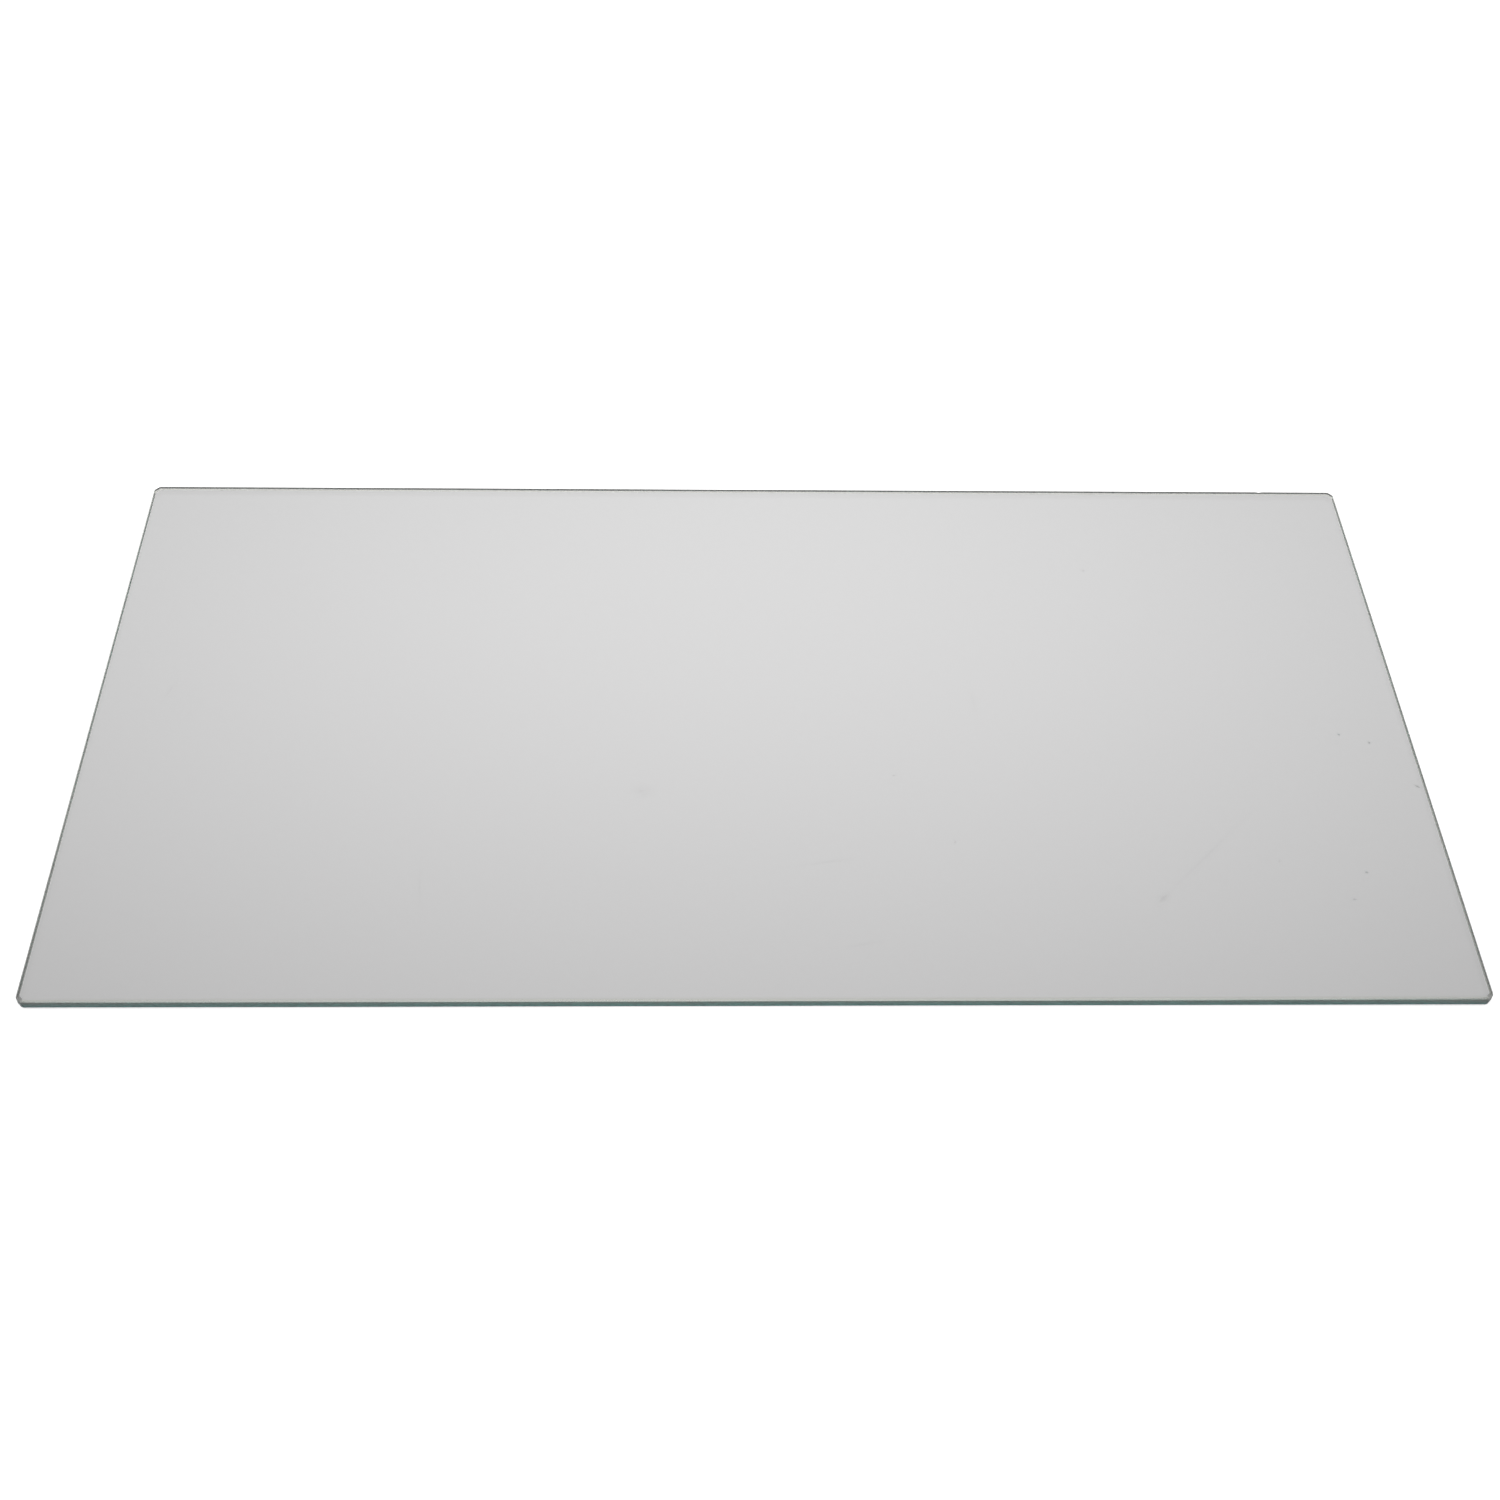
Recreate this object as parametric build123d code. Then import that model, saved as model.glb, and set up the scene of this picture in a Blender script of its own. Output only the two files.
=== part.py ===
from build123d import *
import os

# Refrigerator glass shelf: one plain pane of clear float glass, cut to a rectangle,
# with its four corners dubbed off and its edge ground flat between two arrises.
# Millimetres. X runs along the pane from left to right, Y from the front edge to the
# rear edge and Z up. The origin is at the middle of the face that the pane lies on.

# Driving dimensions
pane_length = 520.0  # along X, over the ground edges
pane_depth = 275.0  # along Y, over the ground edges
pane_thickness = 4.0  # standard float glass
corner_cut = 2.2  # how far a dubbed corner comes back along each of its two edges
rim_round = 1.0  # rounding of the polished face's outline at both ends of a corner cut
arris = 0.65  # width and height of the bevel that breaks each rim of the ground edge

# The edge runs parallel to the rim of the polished face, one arris further out
edge_round = rim_round + arris


def pane_outline():
    """Plan of the pane over its ground edge: a rectangle with four rounded corner cuts."""
    with BuildSketch() as outline:
        Rectangle(pane_length, pane_depth)
        chamfer(outline.vertices(), corner_cut)
        fillet(outline.vertices(), edge_round)
    return outline.sketch


def ground_pane():
    """The sheet at its full thickness, with an arris all round both faces."""
    with BuildPart() as pane:
        add(pane_outline())
        extrude(amount=pane_thickness)
        lower_face = pane.faces().sort_by(Axis.Z)[0]
        upper_face = pane.faces().sort_by(Axis.Z)[-1]
        chamfer(lower_face.edges() + upper_face.edges(), arris)
    return pane.part


glass_pane = ground_pane()
glass_pane.label = "glass_pane"

os.makedirs("parts", exist_ok=True)
export_step(glass_pane, "parts/glass_pane.step")
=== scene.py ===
from math import cos, radians, sin

import bpy
import numpy as np
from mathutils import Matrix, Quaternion, Vector


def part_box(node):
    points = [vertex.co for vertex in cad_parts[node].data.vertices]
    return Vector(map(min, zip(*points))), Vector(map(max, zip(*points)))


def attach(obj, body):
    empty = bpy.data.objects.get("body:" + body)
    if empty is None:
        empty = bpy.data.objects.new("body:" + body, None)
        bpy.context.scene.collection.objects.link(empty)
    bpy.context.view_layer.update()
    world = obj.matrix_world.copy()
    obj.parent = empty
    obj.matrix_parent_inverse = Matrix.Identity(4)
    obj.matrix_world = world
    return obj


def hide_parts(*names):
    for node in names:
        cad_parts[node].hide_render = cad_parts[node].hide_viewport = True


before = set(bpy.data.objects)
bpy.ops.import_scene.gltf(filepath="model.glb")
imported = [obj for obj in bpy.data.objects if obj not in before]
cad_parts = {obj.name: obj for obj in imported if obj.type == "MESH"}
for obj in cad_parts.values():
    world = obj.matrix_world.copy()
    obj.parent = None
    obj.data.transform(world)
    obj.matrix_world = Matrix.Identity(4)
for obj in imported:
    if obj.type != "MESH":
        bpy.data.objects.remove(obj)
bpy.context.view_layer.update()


# Glass pane: the shelf is one sheet of clear float glass, cut to size. Its four corners
# are dubbed off on a belt, and its edge is ground flat with an arris along both rims.
# It lies loose on its lower face.

pane_low, pane_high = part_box("glass_pane")
half_length = pane_high.x
half_depth = pane_high.y
half_thickness = (pane_high.z - pane_low.z) / 2
mid_height = (pane_high.z + pane_low.z) / 2
corner_cut = 0.0022
rim_round = 0.0010
arris = 0.00065
edge_round = rim_round + arris
shoulder_round = 0.0002
rim_band = 0.0007
station_spacing = 0.0008
corner_steps = 8
shoulder_steps = 4
arris_waves = np.array([5, 11, 23])
arris_wave_heights = np.array([0.015, 0.012, 0.008]) * 0.001
nick_width = 0.0009
nick_depth = 0.0003
nick_places = np.array([(0.2268, half_depth)])
# Strength of a darker grey film on the edge: along the rear, on each end at four places from front to
# rear, and the share left on the lower arris.
rear_film = 0.7
left_film = (0.8, 0.3, 0.1, 0.0)
right_film = (0.7, 0.45, 0.3, 0.0)
end_film_places = np.array([-1.0, -0.4, 0.2, 1.0]) * half_depth
lower_film = 0.6


def rounded_corners(facing, reach, radius, steps):
    """Arcs that round the corners of a convex outline.

    Each side is given by the angle that it faces and its reach, the distance from the
    middle. Where two sides meet, the arc's centre lies one radius inside both of them,
    and the arc turns from the first side's facing to the second's. Returns the points
    and the outward normals, each as (corners, steps + 1, 2).
    """
    sides = np.stack([np.cos(facing), np.sin(facing)], axis=1)
    pairs = np.stack([sides[:-1], sides[1:]], axis=1)
    reaches = np.stack([reach[:-1], reach[1:]], axis=1) - radius
    centres = np.linalg.solve(pairs, reaches[..., None])[..., 0]
    share = np.linspace(0, 1, steps + 1)
    angles = facing[:-1, None] + share * (facing[1:] - facing[:-1])[:, None]
    normals = np.stack([np.cos(angles), np.sin(angles)], axis=-1)
    return centres[:, None] + radius * normals, normals


def edge_stations():
    """Points and outward normals round the plan, anticlockwise from the right end's middle.

    The plan is an octagon: two ends, two long edges and four corner cuts, with the first
    side named again at the end. Each side between two rounded corners is cut into an even
    number of equal steps, and both arrays are rolled to start at the first side's middle.
    """
    facing = radians(45) * np.arange(9)
    cut_reach = (half_length + half_depth - corner_cut) / np.sqrt(2)
    reach = np.array([half_length, cut_reach, half_depth, cut_reach] * 2 + [half_length])
    arcs, arc_normals = rounded_corners(facing, reach, edge_round, corner_steps)
    points = []
    normals = []
    for side in range(len(arcs)):
        start = arcs[side - 1, -1]
        end = arcs[side, 0]
        steps = 2 * int(np.ceil(np.linalg.norm(end - start) / station_spacing / 2))
        share = np.linspace(0, 1, steps + 1)[1:-1, None]
        points += [start + share * (end - start), arcs[side]]
        normals += [np.repeat(arc_normals[side, :1], steps - 1, axis=0), arc_normals[side]]
        if side == 0:
            first = steps // 2 - 1
    points = np.roll(np.concatenate(points), -first, axis=0)
    normals = np.roll(np.concatenate(normals), -first, axis=0)
    return points, normals


def edge_profile():
    """Section of the edge from the upper face to the lower one, with what each point belongs to.

    Two arrises at 45 degrees and the flat land between them, with a small rounding on all
    four shoulders, and one more point on each face just inside the rim, where the ground
    finish ends. Also returns the shoulder that each point goes with, how far it is ground
    and land, whether it is on the lower half, and how far the darker film can cover it,
    which is less on the lower arris.
    """
    facing = np.radians([90.0, 45.0, 0.0, -45.0, -90.0])
    bevel_reach = (half_thickness - arris) / np.sqrt(2)
    reach = np.array([half_thickness, bevel_reach, 0.0, bevel_reach, half_thickness])
    arcs, _ = rounded_corners(facing, reach, shoulder_round, shoulder_steps)
    band = np.array([[rim_band, 0.0]])
    points = np.concatenate([arcs[0, :1] - band, arcs.reshape(-1, 2), arcs[-1, -1:] - band])
    rise = np.linspace(0, 1, shoulder_steps + 1)
    full = np.ones_like(rise)
    none = np.zeros_like(rise)
    fall = 1 - (1 - lower_film) * rise
    ground = np.concatenate([[0], full, full, full, rise[::-1], [0]])
    land = np.concatenate([[0], none, rise, rise[::-1], none, [0]])
    film_weight = np.concatenate([[1], full, full, fall, lower_film * full, [lower_film]])
    shoulders = len(arcs)
    shoulder = np.repeat(np.arange(shoulders), shoulder_steps + 1)
    shoulder = np.concatenate([[0], shoulder, [shoulders - 1]])
    low = (shoulder >= shoulders // 2) * 1.0
    return points, np.eye(shoulders)[shoulder], ground, land, low, film_weight


def pane_surface():
    """Vertices, faces and edge finish of the whole pane.

    The edge's profile is carried round the stations: a vertex is the station moved inwards
    along its normal by the profile's inset, at the profile's height. The arris is a little
    wider or narrower from place to place, as a sum of waves with a whole number of turns
    round the pane, and deeper at the nick. The lower one has the same waves, a third of the
    way further round. Each face has a spine along its middle: quads join the spine to the
    long edges, and a fan of triangles joins each of its two ends to the end edge. The finish
    goes by side, and a side has its full share on itself and on the corner cuts next to it.
    The front's lower half has painted shade, darker and greener than the rest of the land. A
    darker film lies on the other three: the same all along the rear, and more towards the
    front on the ends.
    """
    stations, normals = edge_stations()
    count = len(stations)
    profile, part, ground, land, low, film_weight = edge_profile()
    turn = 2 * np.pi * np.arange(count) / count
    waves = np.sin(turn[:, None] * arris_waves + arris_waves**2) @ arris_wave_heights
    gap = np.linalg.norm(stations[:, None] - nick_places, axis=2)
    upper = waves + nick_depth * np.exp(-((gap / nick_width) ** 2)).sum(axis=1)
    third = count // 3
    lower = np.roll(waves, third)
    inset = -profile[:, 0] + upper[:, None] * part[:, 0] + lower[:, None] * part[:, 3]
    height = profile[:, 1] - upper[:, None] * part[:, 1] + lower[:, None] * part[:, 2]
    plan = stations[:, None] - inset[..., None] * normals[:, None]
    vertices = np.concatenate([plan, mid_height + height[..., None]], axis=2)
    right, rear = np.clip(np.sqrt(2) * normals, 0, 1).T
    left, front = np.clip(-np.sqrt(2) * normals, 0, 1).T
    left_level = np.interp(stations[:, 1], end_film_places, left_film)
    right_level = np.interp(stations[:, 1], end_film_places, right_film)
    # How far the darker film covers each point: by side, and along the ends by place.
    film_share = np.outer(rear_film * rear + left_level * left + right_level * right, film_weight)
    # Painted shade: the lower half of the front land is darker and greener.
    painted_front_shade = np.outer(front, low)
    ring = len(profile)
    here = np.arange(count)[:, None] * ring + np.arange(ring - 1)
    ahead = np.roll(here, -1, axis=0)
    faces = np.stack([here, here + 1, ahead + 1, ahead], axis=-1).reshape(-1, 4).tolist()
    span = np.flatnonzero(np.abs(stations[: count // 2, 0]) < half_length - half_depth)
    spine = np.zeros((2, len(span), 3))
    spine[:, :, 0] = stations[span, 0]
    spine[:, :, 2] = [[pane_high.z], [pane_low.z]]
    joint = np.arange(len(span) - 1)
    right_fan = np.arange(-span[0], span[0])
    left_fan = np.arange(span[-1], count - span[-1])
    for row, start, way in ((0, count * ring, 1), (ring - 1, count * ring + len(span), -1)):
        back_rim = span * ring + row
        front_rim = (count - span) * ring + row
        middle = start + joint
        back_half = np.stack([back_rim[:-1], back_rim[1:], middle + 1, middle], axis=1)
        front_half = np.stack([front_rim[1:], front_rim[:-1], middle, middle + 1], axis=1)
        faces += np.concatenate([back_half, front_half])[:, ::way].tolist()
        for fan, hub in ((right_fan, start), (left_fan, start + len(span) - 1)):
            rim = np.stack([fan, fan + 1], axis=1) % count * ring + row
            faces += np.column_stack([rim, np.full(len(fan), hub)])[:, ::way].tolist()
    bare = np.zeros(2 * len(span))
    finish = {
        "ground": np.append(np.tile(ground, count), bare),
        "land": np.append(np.tile(land, count), bare),
        "painted_front_shade": np.append(painted_front_shade, bare),
        "film_share": np.append(film_share, bare),
    }
    return np.concatenate([vertices.reshape(-1, 3), spine.reshape(-1, 3)]), faces, finish


def pane_object():
    """The pane as one smooth closed mesh that carries its edge finish."""
    vertices, faces, finish = pane_surface()
    mesh = bpy.data.meshes.new("pane")
    mesh.from_pydata(vertices, [], faces, shade_flat=False)
    for name, values in finish.items():
        mesh.attributes.new(name, "FLOAT", "POINT").data.foreach_set("value", values.astype(np.float32))
    mesh.update()
    pane = bpy.data.objects.new("pane", mesh)
    bpy.context.scene.collection.objects.link(pane)
    return pane


face_tint = (0.9835, 0.9585, 0.9618, 1)
arris_tint = (0.78, 0.78, 0.7, 1)
land_tint = (0.36, 0.335, 0.31, 1)
# Painted shade for the lower half of the front land, darker and greener than the land above it.
painted_front_shade_tint = (0.056, 0.39, 0.4, 1)
soil_tint = (0.2, 0.19, 0.18, 1)
film_tint = (0.4, 0.4, 0.405, 1)
arris_roughness = 0.25
land_roughness = 0.65
film_roughness = 0.5
film_fade = 0.15
soil_roughness = 5.0
glass_index = 1.52
body_color = (0.0, 0.6, 0.55, 1)
body_density = 8.0
dust_scale = 420.0
dust_depth = 0.025
grain_stretch = (60.0, 60.0, 6000.0)
grain_depth = 0.3
mark_reach = 0.0004

# Marks on the upper face: middle X and Y, turn in degrees, half length, half width, strength
marks = [
    (0.2312, -0.0100, 0, 0.0011, 0.0011, 0.220),
    (0.2424, -0.0143, 60, 0.0012, 0.0010, 0.210),
    (0.2267, -0.0800, 170, 0.0012, 0.0010, 0.250),
    (0.2193, -0.0928, 5, 0.0014, 0.0009, 0.190),
    (0.1417, 0.0850, 0, 0.0012, 0.0012, 0.130),
    (0.1950, -0.0745, 70, 0.0010, 0.0008, 0.170),
    (0.0531, -0.0319, 5, 0.0015, 0.0009, 0.145),
    (0.0740, -0.0654, 85, 0.0018, 0.0008, 0.140),
    (0.2560, -0.0373, -43, 0.0022, 0.0008, 0.250),
    (0.1487, -0.0923, 40, 0.0040, 0.0025, 0.110),
    (0.1670, -0.0730, 46, 0.0400, 0.0008, 0.085),
    (-0.1243, -0.0860, -86, 0.0160, 0.0007, 0.075),
    (0.0250, -0.0750, 10, 0.0200, 0.0008, 0.075),
    (0.0876, 0.0080, -85, 0.0090, 0.0008, 0.080),
    (-0.2320, 0.0130, 70, 0.0100, 0.0008, 0.080),
    (0.0370, -0.1130, 12, 0.0130, 0.0008, 0.075),
    (-0.0439, -0.0397, 0, 0.0070, 0.0050, 0.065),
]


def add_node(tree, kind, settings, inputs):
    """A new node with its settings and inputs: a socket is linked, anything else is a value."""
    node = tree.nodes.new(kind)
    for name, value in settings.items():
        setattr(node, name, value)
    for name, value in inputs.items():
        if isinstance(value, bpy.types.NodeSocket):
            tree.links.new(value, node.inputs[name])
        else:
            node.inputs[name].default_value = value
    return node


def add_math(tree, operation, *values):
    """Number worked out from two or three others by the named operation."""
    node = add_node(tree, "ShaderNodeMath", {"operation": operation}, dict(enumerate(values)))
    return node.outputs[0]


def add_mix(tree, share, first, second):
    """Colour mix: the first colour at share 0, the second at share 1."""
    node = add_node(tree, "ShaderNodeMix", {"data_type": "RGBA"}, {0: share, 6: first, 7: second})
    return node.outputs[2]


def mark_group():
    """Mask of one speck or scratch, which is an ellipse that fades out towards its rim.

    The place is measured from the mark's middle, turned with it and counted in half sizes.
    The mask is what that leaves of 1.
    """
    group = bpy.data.node_groups.new("mark", "ShaderNodeTree")
    for name in ("Place", "Middle", "Turn", "Half Size"):
        group.interface.new_socket(name, in_out="INPUT", socket_type="NodeSocketVector")
    group.interface.new_socket("Mask", in_out="OUTPUT", socket_type="NodeSocketFloat")
    given = group.nodes.new("NodeGroupInput").outputs
    counted = add_node(
        group,
        "ShaderNodeMapping",
        {"vector_type": "TEXTURE"},
        {
            "Vector": given["Place"],
            "Location": given["Middle"],
            "Rotation": given["Turn"],
            "Scale": given["Half Size"],
        },
    )
    mask = add_node(
        group, "ShaderNodeTexGradient", {"gradient_type": "SPHERICAL"}, {"Vector": counted.outputs[0]}
    )
    add_node(group, "NodeGroupOutput", {}, {"Mask": mask.outputs["Fac"]})
    return group


def soil_mask(tree, place):
    """All marks together, each at its own strength. They reach a tenth of the thickness down."""
    group = mark_group()
    soil = 0.0
    for x, y, turn, length, width, strength in marks:
        mark = add_node(
            tree,
            "ShaderNodeGroup",
            {"node_tree": group},
            {
                "Place": place,
                "Middle": (x, y, pane_high.z),
                "Turn": (0, 0, radians(turn)),
                "Half Size": (length, width, mark_reach),
            },
        )
        soil = add_math(tree, "MULTIPLY_ADD", mark.outputs["Mask"], strength, soil)
    return add_math(tree, "MINIMUM", soil, 1.0)


def glass_material():
    """Clear float glass: polished faces with a little dust, and a grey-green ground edge.

    Four shares from the mesh say how far a point is ground, land, painted shade and under
    the darker film. The first three mix the tints and the roughness: the painted shade makes
    the lower half of the front land darker and greener. The darker film is a grey coat that
    keeps most of its strength up to where the ground finish ends. Marks are tinted and rough.
    Belt marks on the edge are noise drawn out along it.
    """
    material = bpy.data.materials.new("clear_glass")
    material.use_nodes = True
    tree = material.node_tree
    shader = tree.nodes["Principled BSDF"]
    shader.inputs["Transmission Weight"].default_value = 1.0
    shader.inputs["IOR"].default_value = glass_index
    ground, land, painted_front_shade, film_share = [
        add_node(tree, "ShaderNodeAttribute", {"attribute_name": name}, {}).outputs["Fac"]
        for name in ("ground", "land", "painted_front_shade", "film_share")
    ]
    place = tree.nodes.new("ShaderNodeTexCoord").outputs["Object"]
    soil = soil_mask(tree, place)

    dust = add_node(
        tree, "ShaderNodeTexNoise", {}, {"Vector": place, "Scale": dust_scale, "Detail": 1.0}
    )
    haze = add_math(tree, "MULTIPLY", dust.outputs[0], dust_depth)
    dusty = add_mix(tree, add_math(tree, "ADD", soil, haze), face_tint, soil_tint)

    drawn = add_node(
        tree, "ShaderNodeVectorMath", {"operation": "MULTIPLY"}, {0: place, 1: grain_stretch}
    )
    grain = add_node(
        tree, "ShaderNodeTexNoise", {}, {"Vector": drawn.outputs[0], "Scale": 1.0, "Detail": 0.0}
    )
    streaks = add_math(tree, "MULTIPLY", grain.outputs[0], grain_depth)

    # Painted shade: the lower half of the front land is tinted darker and greener.
    land_and_painted_shade = add_mix(tree, painted_front_shade, land_tint, painted_front_shade_tint)
    edge = add_mix(tree, land, arris_tint, land_and_painted_shade)
    worn_and_shaded_edge = add_mix(tree, add_math(tree, "MULTIPLY", streaks, land), edge, soil_tint)
    tree.links.new(add_mix(tree, ground, dusty, worn_and_shaded_edge), shader.inputs["Base Color"])

    edge_rough = add_node(
        tree, "ShaderNodeMix", {"data_type": "FLOAT"}, {0: land, 2: arris_roughness, 3: land_roughness}
    ).outputs[0]
    soil_rough = add_math(tree, "MINIMUM", add_math(tree, "MULTIPLY", soil, soil_roughness), 1.0)
    rough = add_node(
        tree, "ShaderNodeMix", {"data_type": "FLOAT"}, {0: ground, 2: soil_rough, 3: edge_rough}
    ).outputs[0]
    tree.links.new(rough, shader.inputs["Roughness"])
    # The darker film: a grey coat on the rear and the ends.
    covered = add_math(tree, "POWER", ground, film_fade)
    tree.links.new(add_math(tree, "MULTIPLY", film_share, covered), shader.inputs["Coat Weight"])
    shader.inputs["Coat Tint"].default_value = film_tint
    shader.inputs["Coat Roughness"].default_value = film_roughness

    body = add_node(
        tree, "ShaderNodeVolumeAbsorption", {}, {"Color": body_color, "Density": body_density}
    )
    tree.links.new(body.outputs[0], tree.nodes["Material Output"].inputs["Volume"])
    return material


pane = pane_object()
pane.data.materials.append(glass_material())
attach(pane, "root")
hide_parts("glass_pane")


# Floor: a plain pale surface that the pane lies on. Light falls on it from all round, and
# a soft pool of its own light takes it up to white. Under the pane the floor is in shadow,
# so the pool is what shows through the glass, brightest towards the rear.

floor_gap = 0.00005
floor_reach = 30.0
floor_color = (0.95, 0.95, 0.95, 1)
pool_middle = (-0.0057, 0.1011, 0)
pool_reach = (0.953, 0.666, 1)
pool_level = 0.73
far_level = 0.1


def floor_object():
    """A square round the origin, just under the pane."""
    corners = np.array([(-1, -1), (1, -1), (1, 1), (-1, 1)]) * floor_reach
    vertices = np.column_stack([corners, np.full(4, pane_low.z - floor_gap)])
    mesh = bpy.data.meshes.new("floor")
    mesh.from_pydata(vertices, [], [(0, 1, 2, 3)])
    floor = bpy.data.objects.new("floor", mesh)
    bpy.context.scene.collection.objects.link(floor)
    return floor


def floor_material():
    """Matt white with a pool of light that eases from its middle out to its reach.

    Only the camera and the glass see the pool. It lights nothing, so it isn't sampled as a
    lamp.
    """
    material = bpy.data.materials.new("pale_floor")
    material.use_nodes = True
    material.cycles.emission_sampling = "NONE"
    tree = material.node_tree
    shader = tree.nodes["Principled BSDF"]
    shader.inputs["Base Color"].default_value = floor_color
    shader.inputs["Roughness"].default_value = 1.0
    shader.inputs["Specular IOR Level"].default_value = 0.0
    shader.inputs["Emission Color"].default_value = (1, 1, 1, 1)
    place = tree.nodes.new("ShaderNodeTexCoord").outputs["Object"]
    counted = add_node(
        tree,
        "ShaderNodeMapping",
        {"vector_type": "TEXTURE"},
        {"Vector": place, "Location": pool_middle, "Scale": pool_reach},
    )
    distance = add_node(tree, "ShaderNodeVectorMath", {"operation": "LENGTH"}, {0: counted.outputs[0]})
    level = add_node(
        tree,
        "ShaderNodeMapRange",
        {"interpolation_type": "SMOOTHSTEP"},
        {"Value": distance.outputs["Value"], "To Min": pool_level, "To Max": far_level},
    )
    path = tree.nodes.new("ShaderNodeLightPath").outputs
    seen = add_math(tree, "MAXIMUM", path["Is Camera Ray"], path["Is Glossy Ray"])
    seen = add_math(tree, "MAXIMUM", seen, path["Is Transmission Ray"])
    glow = add_math(tree, "MULTIPLY", seen, level.outputs[0])
    tree.links.new(glow, shader.inputs["Emission Strength"])
    return material


floor = floor_object()
floor.data.materials.append(floor_material())


# Light: an even white tent all round, at a plain level. Light that would reach the floor
# through the glass is left out, and paths are long enough to run through the pane from
# edge to edge.

tent_level = 1.0
path_bounces = 128


def studio_world():
    """The same white from every side, which rays find by themselves."""
    world = bpy.data.worlds.new("studio")
    world.use_nodes = True
    world.cycles.sampling_method = "NONE"
    background = world.node_tree.nodes["Background"]
    background.inputs["Color"].default_value = (1, 1, 1, 1)
    background.inputs["Strength"].default_value = tent_level
    return world


bpy.context.scene.world = studio_world()
bpy.context.scene.view_settings.view_transform = "Standard"
bpy.context.scene.cycles.caustics_refractive = False
bpy.context.scene.cycles.caustics_reflective = False
bpy.context.scene.cycles.max_bounces = path_bounces
bpy.context.scene.cycles.glossy_bounces = path_bounces
bpy.context.scene.cycles.transmission_bounces = path_bounces


# Camera: where the photograph was taken from, in front of the pane and well above it, with
# the lens length that the perspective of its four edges gives.

view_target = Vector((-0.0020, -0.0150, 0.0))
view_distance = 0.8008
view_elevation = radians(47.587)
view_azimuth = radians(-2.433)
view_roll = radians(1.873)
lens_length = 48.97
nearest_view = 0.01
furthest_view = 100.0

camera = bpy.data.objects.new("camera", bpy.data.cameras.new("camera"))
bpy.context.scene.collection.objects.link(camera)
camera.data.lens = lens_length
camera.data.clip_start = nearest_view
camera.data.clip_end = furthest_view
back = Vector((
    sin(view_azimuth) * cos(view_elevation),
    -cos(view_azimuth) * cos(view_elevation),
    sin(view_elevation),
))
camera.location = view_target + view_distance * back
camera.rotation_mode = "QUATERNION"
camera.rotation_quaternion = back.to_track_quat("Z", "Y") @ Quaternion((0, 0, 1), view_roll)
bpy.context.scene.camera = camera
